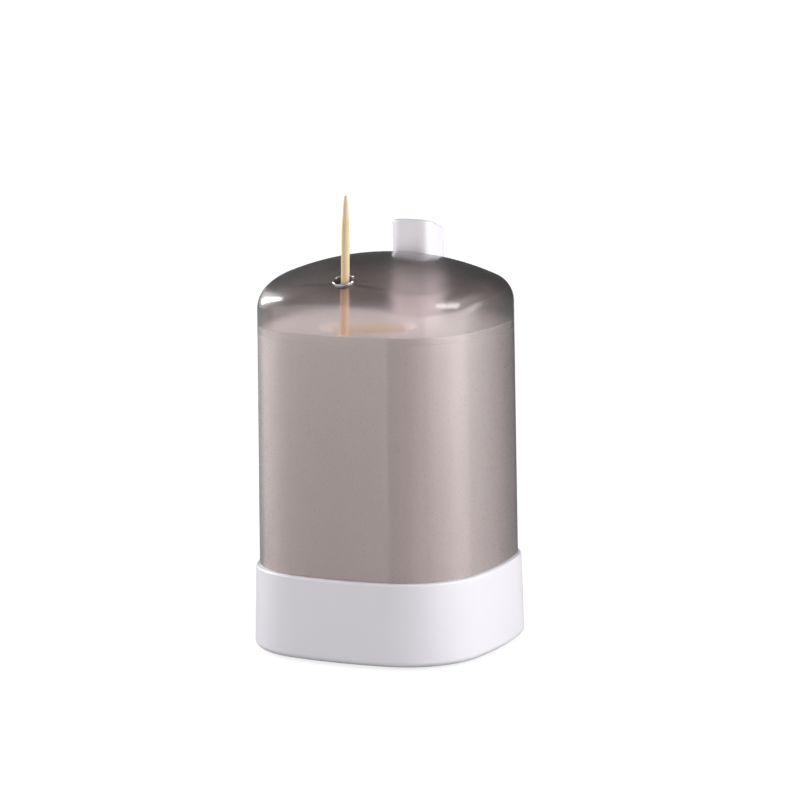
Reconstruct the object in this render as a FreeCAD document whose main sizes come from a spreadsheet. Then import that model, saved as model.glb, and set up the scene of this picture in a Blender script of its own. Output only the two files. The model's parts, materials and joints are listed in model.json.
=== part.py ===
import FreeCAD, Part
import Sketcher
import math
import os
from types import SimpleNamespace

# Toothpick dispenser. A white base carries an inner housing with a round well of toothpicks.
# A smoky domed cover drops over it. The button at the back rocks a lever, whose long arm
# lifts one toothpick through the outlet at the front.
# Frame: origin on the table under the middle, +X to the right, front at -Y, +Z up. Millimetres.

SIZES = {
    # base
    "foot_height": 0.5, "base_height": 20.5, "base_taper": 0.6, "outlet_inset": 7.7,
    "corner_radius": 19.9, "side_radius": 91.4, "base_wall": 1.8, "ledge_thickness": 1.8, "ledge_gap": 0.3,
    "base_bottom_round": 1.4, "base_top_round": 0.6,
    "plate_inset": 0.3, "plate_thickness": 2.4, "plate_gap": 0.2,
    "foot_radius": 3.8, "foot_recess": 0.8, "foot_x": 13.0, "foot_inset": 9.6, "foot_gap": 0.1,
    "boss_gap": 0.7, "boss_radius": 3.4, "upper_boss_radius": 2.6, "upper_boss_height": 12.0,
    "case_screw_radius": 1.2, "case_screw_bite": 9.0, "screw_gap": 0.08,
    "screw_head_radius": 2.3, "screw_head_height": 1.2, "screw_slot_width": 0.7, "screw_slot_depth": 0.5,
    # cover
    "cover_inset": 0.9, "cover_taper": 0.7, "taper_over": 2.5, "cover_wall": 1.0,
    "dome_radius": 65.6, "dome_rise": 17.3, "shoulder_round": 7.2, "cover_bevel": 0.3,
    "outlet_lead": 3.2, "outlet_radius": 2.35, "ring_inner": 2.0, "ring_outer": 2.7,
    "ring_height": 0.35, "ring_sink": 0.2, "ring_bush_below": 0.3, "ring_round": 0.15,
    # inner housing
    "housing_gap": 0.3, "housing_wall": 1.2, "deck_thickness": 1.6,
    "deck_round": 0.6, "band_gap": 0.15, "band_height": 4.1,
    "well_setback": 10.0, "well_radius": 10.2, "tube_wall": 1.2, "mouth_flare": 2.45,
    "mouth_gap": 0.1, "mouth_rim": 0.6, "mouth_height": 2.8, "mouth_proud": 0.2,
    "feed_half": 1.9, "tube_top_drop": 2.6, "floor_height": 12.2, "floor_thickness": 1.4,
    "channel_skirt": 3.0, "lug_radius": 3.0, "lug_height": 1.6, "lug_stand": 3.4,
    "small_screw_radius": 1.0, "small_head_radius": 1.8, "small_head_height": 1.2, "small_screw_bite": 1.6,
    # button
    "button_inset": 12.1, "button_half": 5.55, "button_round": 3.0, "button_gap": 0.25,
    "button_proud": 8.6, "button_wall": 1.2, "button_edge_round": 0.7, "button_foot_drop": 14.2,
    "collar_wall": 1.0, "collar_gap": 0.3, "press_travel": 8.5,
    "flange_half": 6.6, "flange_thickness": 1.5, "plug_gap": 0.15, "plug_height": 6.0,
    "rod_half": 3.0, "rod_top_gap": 2.0, "rod_plate_radius": 4.6, "rod_plate_thickness": 1.4,
    "post_flange_radius": 5.0, "post_flange_thickness": 1.2, "post_radius": 2.6, "post_tip_radius": 1.5,
    "post_gap": 0.1, "post_overlap": 2.9, "post_stop_gap": 0.3, "bore_spare": 3.0,
    "spring_radius": 3.6, "spring_wire": 0.4, "spring_length": 17.2, "spring_end_gap": 0.02,
    # lever
    "lever_room": 2.4, "fork_room": 3.2, "lever_thickness": 2.4, "arm_lead": 0.1, "lift_travel": 33.3,
    "pivot_lead": 8.0, "pivot_height": 24.5, "hub_radius": 3.4, "front_end_radius": 2.0,
    "rear_end_radius": 2.2, "pin_radius": 1.0, "pin_fit": 0.02, "pivot_radius": 1.5,
    "pivot_fit": 0.05, "pivot_running_fit": 0.08, "front_pin_reach": 2.8, "rear_pin_reach": 3.6,
    "front_slot_gap": 0.4, "rear_slot_gap": 0.15, "slot_end_gap": 0.3, "slot_wall": 1.3,
    "side_gap": 0.4, "cheek_gap": 0.3, "cheek_thickness": 1.5, "cheek_half": 3.2,
    "bracket_web": 2.0, "bracket_foot_reach": 6.0, "bracket_foot_half": 4.4, "bracket_screw_inset": 3.0,
    "bracket_screw_spread": 2.3, "pivot_head_radius": 2.4, "pivot_head_thickness": 0.9,
    "clip_outer": 2.7, "clip_thickness": 0.8, "clip_gap": 0.1, "clip_slot_half": 0.9,
    "pivot_tail": 0.4,
    # lifter
    "sleeve_gap": 1.5, "guide_lead": 0.8, "guide_radius": 1.5, "sleeve_radius": 3.0,
    "sleeve_lift": 1.0, "arm_thickness": 1.4, "arm_height": 3.0, "arm_gap": 0.3, "arm_bite": 0.2,
    "lift_pad_radius": 1.45, "floor_gap": 0.2, "root_gap": 0.8, "root_bite": 1.4,
    "root_block_wall": 1.1, "fork_bite": 0.3, "lug_clear": 2.0, "top_lug_height": 3.5, "top_lug_wall": 2.0,
    # toothpicks
    "pick_length": 65.0, "pick_radius": 1.05, "pick_point": 8.0, "pick_tip_radius": 0.15,
    "pick_pitch": 2.3, "pick_offset": 0.35, "pick_gap": 0.3, "pick_proud": 0.2,
    # shared
    "seat_depth": 1.4, "overrun": 1.0,
}
ANGLES = {"pick_lean": 1.4, "dome_sweep": 50}
SPRING_TURNS = 7
SCREW_COUNT = 4
LUG_ANGLES = (0, 120, 240)
CROSS_SHARE = 0.6
LUG_DEPTH_SHARE = 0.8
ROD_ROUND_SHARE = 0.33
LEVEL_SHARE = 0.01
TOP_SHARE = 0.9
SHOULDER_SHARE = 1.5
LEAST_CUT_SHARE = 1e-9


class Size:
    """A length and the formula that ties it to the sheet, kept together."""

    def __init__(self, value, formula):
        self.value = value
        self.formula = formula

    def __add__(self, other):
        other = as_size(other)
        return Size(self.value + other.value, f"({self.formula} + {other.formula})")

    def __sub__(self, other):
        other = as_size(other)
        return Size(self.value - other.value, f"({self.formula} - {other.formula})")

    def __mul__(self, other):
        other = as_size(other)
        return Size(self.value * other.value, f"({self.formula} * {other.formula})")

    def __truediv__(self, other):
        other = as_size(other)
        return Size(self.value / other.value, f"({self.formula} / {other.formula})")

    def __neg__(self):
        return Size(-self.value, f"(0 - {self.formula})")

    def __rmul__(self, other):
        return as_size(other) * self


def as_size(number):
    return number if isinstance(number, Size) else Size(number, repr(number))


def root(size):
    return Size(math.sqrt(size.value), f"sqrt({size.formula})")


def larger(one, other):
    return Size(max(one.value, other.value), f"max({one.formula}; {other.formula})")


ZERO = Size(0.0, "0")
doc = FreeCAD.newDocument("toothpick_dispenser")
sheet = doc.addObject("Spreadsheet::Sheet", "Sizes")
for row, (name, value) in enumerate({**SIZES, **ANGLES}.items(), start=1):
    sheet.set(f"A{row}", name)
    sheet.set(f"B{row}", str(value))
    sheet.setAlias(f"B{row}", name)
doc.recompute()
d = SimpleNamespace(**{name: Size(value, f"Sizes.{name}") for name, value in {**SIZES, **ANGLES}.items()})
nodes = {}


# Sketch and feature helpers

def new_body(name):
    body = doc.addObject("PartDesign::Body", name)
    body.Label = name
    nodes[name] = body
    return body


def origin_feature(body, role):
    return [item for item in body.Origin.OriginFeatures if item.Role == role][0]


def sketch(body, label, plane="XY_Plane", offset=ZERO):
    sk = body.newObject("Sketcher::SketchObject", f"{body.Name}_{label}")
    sk.AttachmentSupport = [(origin_feature(body, plane), "")]
    sk.MapMode = "FlatFace"
    sk.setExpression(".AttachmentOffset.Base.z", offset.formula)
    sk.AttachmentOffset.Base.z = offset.value
    return sk


def constrain(sk, size, *words):
    index = sk.addConstraint(Sketcher.Constraint(*words, size.value))
    sk.setExpression(f"Constraints[{index}]", size.formula)


def place_vertex(sk, geometry, end, point):
    constrain(sk, point[0], "DistanceX", geometry, end)
    constrain(sk, point[1], "DistanceY", geometry, end)


def vector(point):
    return FreeCAD.Vector(point[0].value, point[1].value, 0)


def circle(sk, centre, radius):
    index = sk.addGeometry(Part.Circle(vector(centre), FreeCAD.Vector(0, 0, 1), radius.value), False)
    place_vertex(sk, index, 3, centre)
    constrain(sk, radius, "Radius", index)


def outline(sk, points):
    """A closed outline of straight lines through the points."""
    lines = [Part.LineSegment(vector(a), vector(b)) for a, b in zip(points, points[1:] + points[:1])]
    first = sk.addGeometry(lines, False)[0]
    for step, point in enumerate(points):
        before = first + (step - 1) % len(points)
        sk.addConstraint(Sketcher.Constraint("Coincident", before, 2, first + step, 1))
        place_vertex(sk, first + step, 1, point)


def box_outline(sk, low, high):
    outline(sk, [low, (high[0], low[1]), high, (low[0], high[1])])


def arc_through(sk, start, middle, end, radius):
    arc = Part.Arc(FreeCAD.Vector(*start), FreeCAD.Vector(*middle), FreeCAD.Vector(*end))
    index = sk.addGeometry(arc, False)
    constrain(sk, radius, "Radius", index)
    return index


# Places along Y, worked out from the well towards the outlet at the front and the wall round it
well_y = -d.well_setback
outlet_setback = d.well_setback + d.well_radius + d.outlet_lead
outlet_y = -outlet_setback
base_half = outlet_setback + d.outlet_inset
base_top_half = base_half - d.base_taper
button_y = base_half - d.button_inset
pivot_y = button_y - d.pivot_lead
guide_y = outlet_y + d.guide_lead
mouth_radius = d.well_radius + d.mouth_flare

# Places along X: the guide stands beside the feed channel, the lever clears the well and the guide
nose_half = d.feed_half + d.tube_wall
guide_x = nose_half + d.sleeve_gap + d.sleeve_radius
lever_inner = larger(d.well_radius + d.tube_wall + d.lever_room, guide_x + d.sleeve_radius + d.fork_room)
lever_outer = lever_inner + d.lever_thickness
lever_middle = lever_inner + d.lever_thickness / 2
boss_offset = lever_outer + d.boss_gap + d.boss_radius
bracket_end = lever_outer + d.cheek_gap + d.cheek_thickness + d.bracket_foot_reach
root_block_start = nose_half + d.root_gap
root_block_end = guide_x - d.sleeve_radius + d.root_bite
arm_root = root_block_end - d.arm_bite
fork_start = guide_x + d.sleeve_radius - d.fork_bite


# The footprint is a square with bowed sides and wide corners. Every inset of it keeps the
# corner centres and the side centres, so only the half width is given.
side_centre = d.side_radius - base_half
side_to_corner = d.side_radius - d.corner_radius
corner_centre = (root(2 * side_to_corner * side_to_corner - side_centre * side_centre) - side_centre) / 2
side_share = (corner_centre + side_centre) / side_to_corner
corner_share = corner_centre / side_to_corner


def bowed_square(sk, half):
    corner = half - base_half + d.corner_radius
    side = half - base_half + d.side_radius
    far = corner_centre + corner * side_share
    near = corner_centre + corner * corner_share
    diagonal = corner_centre.value + corner.value * math.sqrt(0.5)
    ends = [(far, -near), (far, near), (near, far), (-near, far),
            (-far, near), (-far, -near), (-near, -far), (near, -far)]
    first = None
    for step, start in enumerate(ends):
        end = ends[(step + 1) % len(ends)]
        turn = math.radians(45 * step)
        reach = half.value if step % 2 == 0 else diagonal * math.sqrt(2)
        middle = (reach * math.cos(turn), reach * math.sin(turn), 0)
        radius = side if step % 2 == 0 else corner
        index = arc_through(sk, vector(start), middle, vector(end), radius)
        first = index if first is None else first
        place_vertex(sk, index, 1, start)
    for step in range(len(ends)):
        following = first + (step + 1) % len(ends)
        sk.addConstraint(Sketcher.Constraint("Coincident", first + step, 2, following, 1))


def rounded_square(sk, centre, half, corner):
    flat = half - corner
    x, y = centre
    ends = [(x + half, y - flat), (x + half, y + flat), (x + flat, y + half), (x - flat, y + half),
            (x - half, y + flat), (x - half, y - flat), (x - flat, y - half), (x + flat, y - half)]
    reach = flat.value * math.sqrt(2) + corner.value
    first = None
    for step, start in enumerate(ends):
        end = ends[(step + 1) % len(ends)]
        if step % 2 == 0:
            index = sk.addGeometry(Part.LineSegment(vector(start), vector(end)), False)
        else:
            turn = math.radians(45 * step)
            middle = (x.value + reach * math.cos(turn), y.value + reach * math.sin(turn), 0)
            index = arc_through(sk, vector(start), middle, vector(end), corner)
        first = index if first is None else first
        place_vertex(sk, index, 1, start)
    for step in range(len(ends)):
        following = first + (step + 1) % len(ends)
        sk.addConstraint(Sketcher.Constraint("Coincident", first + step, 2, following, 1))


def extrude(kind, body, sk, length, reverse=False, middle=False):
    feature = body.newObject(f"PartDesign::{kind}", f"{sk.Name}_{kind.lower()}")
    feature.Profile = sk
    feature.Type = 0
    feature.setExpression("Length", length.formula)
    feature.Length = length.value
    feature.Reversed = reverse
    feature.Midplane = middle
    return feature


def pad(body, sk, length, reverse=False, middle=False):
    return extrude("Pad", body, sk, length, reverse, middle)


def pocket(body, sk, length, reverse=False, middle=False):
    return extrude("Pocket", body, sk, length, reverse, middle)


def tapered_pad(body, sk, height, narrowing):
    """A pad whose sides lean in by the narrowing over its height."""
    feature = pad(body, sk, height)
    lean = narrowing / height
    feature.TaperAngle = -math.degrees(math.atan(lean.value))
    feature.setExpression("TaperAngle", f"-1 * atan({lean.formula})")
    return feature


def loft(kind, body, low, high):
    feature = body.newObject(f"PartDesign::{kind}", f"{low.Name}_{kind.lower()}")
    feature.Profile = low
    feature.Sections = [high]
    feature.Ruled = True
    return feature


def turn(kind, body, sk, axis="Z_Axis"):
    feature = body.newObject(f"PartDesign::{kind}", f"{sk.Name}_{kind.lower()}")
    feature.Profile = sk
    feature.ReferenceAxis = (origin_feature(body, axis), [""])
    feature.Angle = 360
    return feature


def polar(body, feature, count):
    pattern = body.newObject("PartDesign::PolarPattern", f"{feature.Name}_pattern")
    pattern.Originals = [feature]
    pattern.Axis = (origin_feature(body, "Z_Axis"), [""])
    pattern.Angle = 360
    pattern.Occurrences = count
    body.Tip = pattern
    return pattern


def polar_sketch_pads(body, label, centre, radius, low, height, cut=False):
    """Four round bosses or holes, one in each corner."""
    sk = sketch(body, label, offset=low)
    circle(sk, centre, radius)
    feature = pocket(body, sk, height, reverse=True) if cut else pad(body, sk, height)
    return polar(body, feature, SCREW_COUNT)


def round_edges(body, base, radius, wanted):
    """Fillets the edges of the base feature that the test picks out."""
    doc.recompute()
    names = [f"Edge{i}" for i, edge in enumerate(base.Shape.Edges, start=1) if wanted(edge)]
    feature = body.newObject("PartDesign::Fillet", f"{base.Name}_round")
    feature.Base = (base, names)
    feature.setExpression("Radius", radius.formula)
    feature.Radius = radius.value
    return feature


def level_edge(edge, height, least_reach):
    box = edge.BoundBox
    reach = max(abs(box.XMin), abs(box.XMax), abs(box.YMin), abs(box.YMax))
    near = LEVEL_SHARE * d.overrun.value
    flat = abs(box.ZMin - height.value) < near and abs(box.ZMax - height.value) < near
    return flat and reach > least_reach.value


def cylinder(body, label, x, y, low, radius, height, cut=False):
    sk = sketch(body, label, offset=low)
    circle(sk, (x, y), radius)
    return pocket(body, sk, height, reverse=True) if cut else pad(body, sk, height)


def block(body, label, x_span, y_span, z_span, cut=False):
    sk = sketch(body, label, offset=z_span[0])
    box_outline(sk, (x_span[0], y_span[0]), (x_span[1], y_span[1]))
    height = z_span[1] - z_span[0]
    return pocket(body, sk, height, reverse=True) if cut else pad(body, sk, height)


def move(body, x=ZERO, y=ZERO, z=ZERO, axis=(0, 0, 1), angle=ZERO):
    turned = FreeCAD.Rotation(FreeCAD.Vector(*axis), angle.value)
    body.Placement = FreeCAD.Placement(FreeCAD.Vector(x.value, y.value, z.value), turned)
    for letter, size in (("x", x), ("y", y), ("z", z)):
        body.setExpression(f".Placement.Base.{letter}", size.formula)
    if angle is not ZERO:
        body.setExpression(".Placement.Rotation.Angle", angle.formula)


# Heights
seam = d.foot_height + d.base_height
ledge_bottom = seam - d.ledge_thickness
plate_bottom = d.foot_height + d.plate_inset
plate_top = plate_bottom + d.plate_thickness
well_floor = plate_top + d.floor_height
deck_top = well_floor + d.pick_length - d.pick_proud
housing_height = deck_top - seam
dome_top = deck_top + d.dome_rise
dome_centre = dome_top - d.dome_radius
taper_height = dome_top - seam + d.taper_over
deck_bottom = deck_top - d.deck_thickness
tube_top = deck_top - d.tube_top_drop
arm_top = well_floor - d.floor_gap
sleeve_height = arm_top - plate_top - d.sleeve_lift
cap_low = deck_top - d.button_foot_drop
collar_low = cap_low + d.collar_gap
rod_low = plate_top + d.post_flange_thickness + d.spring_length
button_back = button_y + d.button_half
cap_back_top = dome_centre + d.button_proud + root(d.dome_radius * d.dome_radius - button_back * button_back)
cap_inner_top = cap_back_top - d.button_wall - d.button_edge_round

# Half widths of the nested walls
cover_half = base_top_half - d.cover_inset
cover_inner_half = cover_half - d.cover_wall
housing_half = cover_inner_half - d.housing_gap
housing_top_half = housing_half - d.cover_taper * housing_height / taper_height
ledge_half = housing_half - d.housing_wall - d.ledge_gap

# Button collar and lever
collar_half = d.button_half + d.button_gap + d.collar_wall
front_arm = pivot_y - guide_y - d.arm_lead
swing_sine = d.lift_travel / 2 / front_arm
swing_cosine = root(as_size(1) - swing_sine * swing_sine)
rear_arm = front_arm * d.press_travel / d.lift_travel
swing = Size(math.degrees(math.asin(swing_sine.value)), f"asin({swing_sine.formula})")
front_pin_y = pivot_y - front_arm * swing_cosine
front_pin_z = d.pivot_height - d.lift_travel / 2
rear_pin_y = pivot_y + rear_arm * swing_cosine
rear_pin_z = d.pivot_height + d.press_travel / 2


# Base

def base_housing():
    body = new_body("base_housing")
    low = sketch(body, "foot", offset=d.foot_height)
    bowed_square(low, base_half)
    shell = tapered_pad(body, low, d.base_height, base_half - base_top_half)
    top = round_edges(body, shell, d.base_top_round, lambda e: level_edge(e, seam, corner_centre))
    round_edges(body, top, d.base_bottom_round, lambda e: level_edge(e, d.foot_height, corner_centre))
    inner = sketch(body, "inner_foot", offset=d.foot_height)
    bowed_square(inner, base_half - d.base_wall)
    inner_top = sketch(body, "inner_top", offset=ledge_bottom)
    taper = (base_half - base_top_half) * (ledge_bottom - d.foot_height) / d.base_height
    bowed_square(inner_top, base_half - d.base_wall - taper)
    loft("SubtractiveLoft", body, inner, inner_top)
    opening = sketch(body, "opening", offset=ledge_bottom - d.overrun)
    bowed_square(opening, ledge_half)
    pocket(body, opening, d.ledge_thickness + 2 * d.overrun, reverse=True)
    corner = (boss_offset, boss_offset)
    polar_sketch_pads(body, "bosses", corner, d.boss_radius, plate_top, seam - plate_top)
    polar_sketch_pads(body, "holes", corner, d.case_screw_radius + d.screw_gap,
                      plate_top - d.overrun, seam - plate_top + 2 * d.overrun, cut=True)


def base_plate():
    body = new_body("base_plate")
    plate = sketch(body, "plate", offset=plate_bottom)
    bowed_square(plate, base_half - d.base_wall - d.plate_gap - (base_half - base_top_half) / 2)
    pad(body, plate, d.plate_thickness)
    corner = (boss_offset, boss_offset)
    polar_sketch_pads(body, "holes", corner, d.case_screw_radius + d.screw_gap,
                      plate_bottom - d.overrun, d.plate_thickness + 2 * d.overrun, cut=True)
    polar_sketch_pads(body, "head_recesses", corner, d.screw_head_radius + d.foot_gap,
                      plate_bottom - d.overrun, d.screw_head_height + d.overrun, cut=True)
    polar_sketch_pads(body, "foot_recesses", (d.foot_x, base_half - d.foot_inset), d.foot_radius + d.foot_gap,
                      plate_bottom - d.overrun, d.foot_recess + d.overrun, cut=True)
    cylinder(body, "guide_seat", guide_x, guide_y, plate_top - d.seat_depth,
             d.guide_radius, d.seat_depth + d.overrun, cut=True)
    cylinder(body, "post_seat", ZERO, button_y, plate_top - d.seat_depth,
             d.post_tip_radius, d.seat_depth + d.overrun, cut=True)
    for number, (x, y) in enumerate(small_screw_places()):
        cylinder(body, f"pilot_{number}", x, y, plate_top - d.small_screw_bite,
                 d.small_screw_radius + d.pin_fit, d.small_screw_bite + d.overrun, cut=True)


def lug_place(angle):
    cosine = Size(math.cos(math.radians(angle)), f"cos({angle})")
    sine = Size(math.sin(math.radians(angle)), f"sin({angle})")
    return (d.well_radius + d.lug_stand) * cosine, well_y + (d.well_radius + d.lug_stand) * sine


def bracket_screw_places():
    x = bracket_end - d.bracket_screw_inset
    return [(x, pivot_y - d.bracket_screw_spread), (x, pivot_y + d.bracket_screw_spread)]


def small_screw_places():
    return [lug_place(angle) for angle in LUG_ANGLES] + bracket_screw_places()


def rubber_feet():
    body = new_body("rubber_feet")
    centre = (d.foot_x, base_half - d.foot_inset)
    foot = sketch(body, "foot", offset=ZERO)
    circle(foot, centre, d.foot_radius)
    polar(body, pad(body, foot, plate_bottom + d.foot_recess), SCREW_COUNT)


def case_screws():
    body = new_body("case_screws")
    corner = (boss_offset, boss_offset)
    polar_sketch_pads(body, "heads", corner, d.screw_head_radius, plate_bottom, d.screw_head_height)
    shank_low = plate_bottom + d.screw_head_height
    polar_sketch_pads(body, "shanks", corner, d.case_screw_radius, shank_low,
                      seam + d.case_screw_bite - shank_low)
    for label, long_side, short_side in (("slot_a", d.screw_head_radius, d.screw_slot_width / 2),
                                         ("slot_b", d.screw_slot_width / 2, d.screw_head_radius)):
        sk = sketch(body, label, offset=plate_bottom - d.overrun)
        wide = CROSS_SHARE * long_side if label == "slot_a" else long_side
        tall = short_side if label == "slot_a" else CROSS_SHARE * short_side
        low = (boss_offset - wide, boss_offset - tall)
        box_outline(sk, low, (boss_offset + wide, boss_offset + tall))
        polar(body, pocket(body, sk, d.screw_slot_depth + d.overrun, reverse=True), SCREW_COUNT)


def small_screws(name, places, seat):
    """Short screws that stand head up in the base plate."""
    shapes = []
    for x, y in places:
        low = plate_top - d.small_screw_bite
        foot = FreeCAD.Vector(x.value, y.value, low.value)
        shank = Part.makeCylinder(d.small_screw_radius.value, (seat - low).value, foot)
        head_foot = FreeCAD.Vector(x.value, y.value, seat.value)
        head = Part.makeCylinder(d.small_head_radius.value, d.small_head_height.value, head_foot)
        screw = shank.fuse(head)
        for angle in (0, 90):
            reach = CROSS_SHARE * d.small_head_radius.value
            width = d.screw_slot_width.value
            slot = Part.makeBox(2 * reach, width, d.screw_slot_depth.value + d.overrun.value)
            slot.translate(FreeCAD.Vector(-reach, -width / 2, 0))
            slot.rotate(FreeCAD.Vector(0, 0, 0), FreeCAD.Vector(0, 0, 1), angle)
            top = seat + d.small_head_height - d.screw_slot_depth
            slot.translate(FreeCAD.Vector(x.value, y.value, top.value))
            screw = screw.cut(slot)
        shapes.append(screw.removeSplitter())
    feature_from(name, Part.makeCompound(shapes))


def feature_from(name, shape):
    feature = doc.addObject("Part::Feature", name)
    feature.Label = name
    feature.Shape = shape
    feature.Placement = FreeCAD.Placement()
    nodes[name] = feature
    return feature


# Cover

def dome_cut(body, centre, radius, wide, tall):
    """Cuts away all that lies above a sphere of this radius round a centre on the axis."""
    cut = sketch(body, "dome", plane="XZ_Plane")
    turned = math.radians(d.dome_sweep.value)
    edge = radius * Size(math.sin(turned), f"sin({d.dome_sweep.formula})")
    edge_z = centre + radius * Size(math.cos(turned), f"cos({d.dome_sweep.formula})")
    top_z = centre + radius
    middle = (radius.value * math.sin(turned / 2), centre.value + radius.value * math.cos(turned / 2), 0)
    arc = arc_through(cut, (0, top_z.value, 0), middle, (edge.value, edge_z.value, 0), radius)
    corners = [(edge, edge_z), (wide, edge_z), (wide, tall), (ZERO, tall), (ZERO, top_z)]
    lines = [Part.LineSegment(vector(a), vector(b)) for a, b in zip(corners, corners[1:])]
    first = cut.addGeometry(lines, False)[0]
    for step in range(len(lines)):
        place_vertex(cut, first + step, 1, corners[step])
        if step:
            cut.addConstraint(Sketcher.Constraint("Coincident", first + step - 1, 2, first + step, 1))
    place_vertex(cut, first + len(lines) - 1, 2, corners[-1])
    cut.addConstraint(Sketcher.Constraint("Coincident", first + len(lines) - 1, 2, arc, 2))
    cut.addConstraint(Sketcher.Constraint("Coincident", arc, 1, first, 1))
    return turn("Groove", body, cut)


def domed_form(body, half, low, radius, shoulder):
    """The drafted wall under a spherical dome, with its rolled shoulder."""
    foot = sketch(body, "foot", offset=low)
    bowed_square(foot, half)
    head = sketch(body, "head", offset=seam + taper_height)
    bowed_square(head, half - d.cover_taper)
    wall = loft("AdditiveLoft", body, foot, head)
    dome = dome_cut(body, dome_centre, radius, 2 * base_half, seam + taper_height + d.shoulder_round)
    doc.recompute()
    corner_reach = SHOULDER_SHARE * half.value
    lowest = dome_centre.value + math.sqrt(radius.value ** 2 - corner_reach ** 2)
    return round_edges(body, dome, shoulder, lambda e: e.BoundBox.ZMin > lowest)


def outlet_tilt():
    sine = outlet_setback / d.dome_radius
    return Size(math.degrees(math.asin(sine.value)), f"asin({sine.formula})")


def outlet_height():
    return dome_centre + root(d.dome_radius * d.dome_radius - outlet_setback * outlet_setback)


def cover():
    outer = new_body("cover_outside")
    domed_form(outer, cover_half, seam, d.dome_radius, d.shoulder_round)
    opening = sketch(outer, "button_hole", offset=deck_top)
    rounded_square(opening, (ZERO, button_y), d.button_half + d.button_gap, d.button_round + d.button_gap)
    hole = pocket(outer, opening, dome_top - deck_top + d.overrun, reverse=True)
    bevel_foot(outer, hole)
    hollow = new_body("cover_hollow")
    domed_form(hollow, cover_inner_half, seam - d.overrun, d.dome_radius - d.cover_wall,
               d.shoulder_round - d.cover_wall)
    drill = new_body("outlet_drill")
    profile = sketch(drill, "profile", plane="XZ_Plane")
    sunk = -d.ring_sink
    low = -(2 * d.cover_wall + d.overrun)
    high = d.ring_height + d.overrun
    counterbore = d.ring_outer + d.pin_fit
    outline(profile, [(ZERO, low), (d.outlet_radius, low), (d.outlet_radius, sunk), (counterbore, sunk),
                      (counterbore, high), (ZERO, high)])
    turn("Revolution", drill, profile)
    move(drill, y=outlet_y, z=outlet_height(), axis=(1, 0, 0), angle=outlet_tilt())
    hollowed = doc.addObject("Part::Cut", "cover_shell")
    hollowed.Base = outer
    hollowed.Tool = hollow
    drilled = doc.addObject("Part::Cut", "cover")
    drilled.Base = hollowed
    drilled.Tool = drill
    drilled.Label = "cover"
    for tool in (outer, hollow, drill):
        del nodes[tool.Name]
    nodes["cover"] = drilled


def bevel_foot(body, base):
    """The small bevel that shows as the dark seam above the base."""
    doc.recompute()
    edges = enumerate(base.Shape.Edges, start=1)
    names = [f"Edge{i}" for i, edge in edges if level_edge(edge, seam, corner_centre)]
    bevel = body.newObject("PartDesign::Chamfer", f"{body.Name}_bevel")
    bevel.Base = (base, names)
    bevel.setExpression("Size", d.cover_bevel.formula)
    bevel.Size = d.cover_bevel.value


def outlet_ring():
    body = new_body("outlet_ring")
    profile = sketch(body, "profile", plane="XZ_Plane")
    bush = d.outlet_radius - d.pin_fit
    low = -(d.cover_wall + d.ring_bush_below)
    outline(profile, [(d.ring_inner, low), (bush, low), (bush, -d.ring_sink), (d.ring_outer, -d.ring_sink),
                      (d.ring_outer, d.ring_height), (d.ring_inner, d.ring_height)])
    ring = turn("Revolution", body, profile)
    round_edges(body, ring, d.ring_round, lambda e: e.BoundBox.ZMin > TOP_SHARE * d.ring_height.value)
    move(body, y=outlet_y, z=outlet_height(), axis=(1, 0, 0), angle=outlet_tilt())


# Inner housing and hopper

def inner_housing():
    body = new_body("inner_housing")
    foot = sketch(body, "foot", offset=seam)
    bowed_square(foot, housing_half)
    form = tapered_pad(body, foot, housing_height, housing_half - housing_top_half)
    round_edges(body, form, d.deck_round, lambda e: level_edge(e, deck_top, corner_centre))
    band = sketch(body, "band", offset=seam)
    bowed_square(band, cover_inner_half - d.band_gap)
    pad(body, band, d.band_height)
    inner = sketch(body, "inner_foot", offset=seam - d.overrun)
    bowed_square(inner, housing_half - d.housing_wall)
    inner_head = sketch(body, "inner_head", offset=deck_bottom)
    bowed_square(inner_head, housing_top_half - d.housing_wall)
    loft("SubtractiveLoft", body, inner, inner_head)
    collar = sketch(body, "collar", offset=collar_low)
    rounded_square(collar, (ZERO, button_y), collar_half, d.button_round + d.button_gap + d.collar_wall)
    pad(body, collar, deck_bottom - collar_low)
    guide = sketch(body, "guide", offset=collar_low - d.overrun)
    rounded_square(guide, (ZERO, button_y), d.button_half + d.button_gap, d.button_round + d.button_gap)
    pocket(body, guide, deck_top - collar_low + 2 * d.overrun, reverse=True)
    deck_cut = deck_bottom - d.overrun
    deck_cut_height = d.deck_thickness + 2 * d.overrun
    cylinder(body, "mouth", ZERO, well_y, deck_cut, mouth_radius + d.mouth_gap, deck_cut_height, cut=True)
    slot_z = (deck_cut, deck_cut + deck_cut_height)
    block(body, "slot", (-d.feed_half, d.feed_half), (outlet_y, well_y), slot_z, cut=True)
    cylinder(body, "slot_end", ZERO, outlet_y, deck_cut, d.feed_half, deck_cut_height, cut=True)
    corner = (boss_offset, boss_offset)
    polar_sketch_pads(body, "bosses", corner, d.upper_boss_radius, seam, d.upper_boss_height)
    polar_sketch_pads(body, "holes", corner, d.case_screw_radius + d.screw_gap, seam - d.overrun,
                      d.case_screw_bite + d.overrun + d.floor_gap, cut=True)


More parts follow.
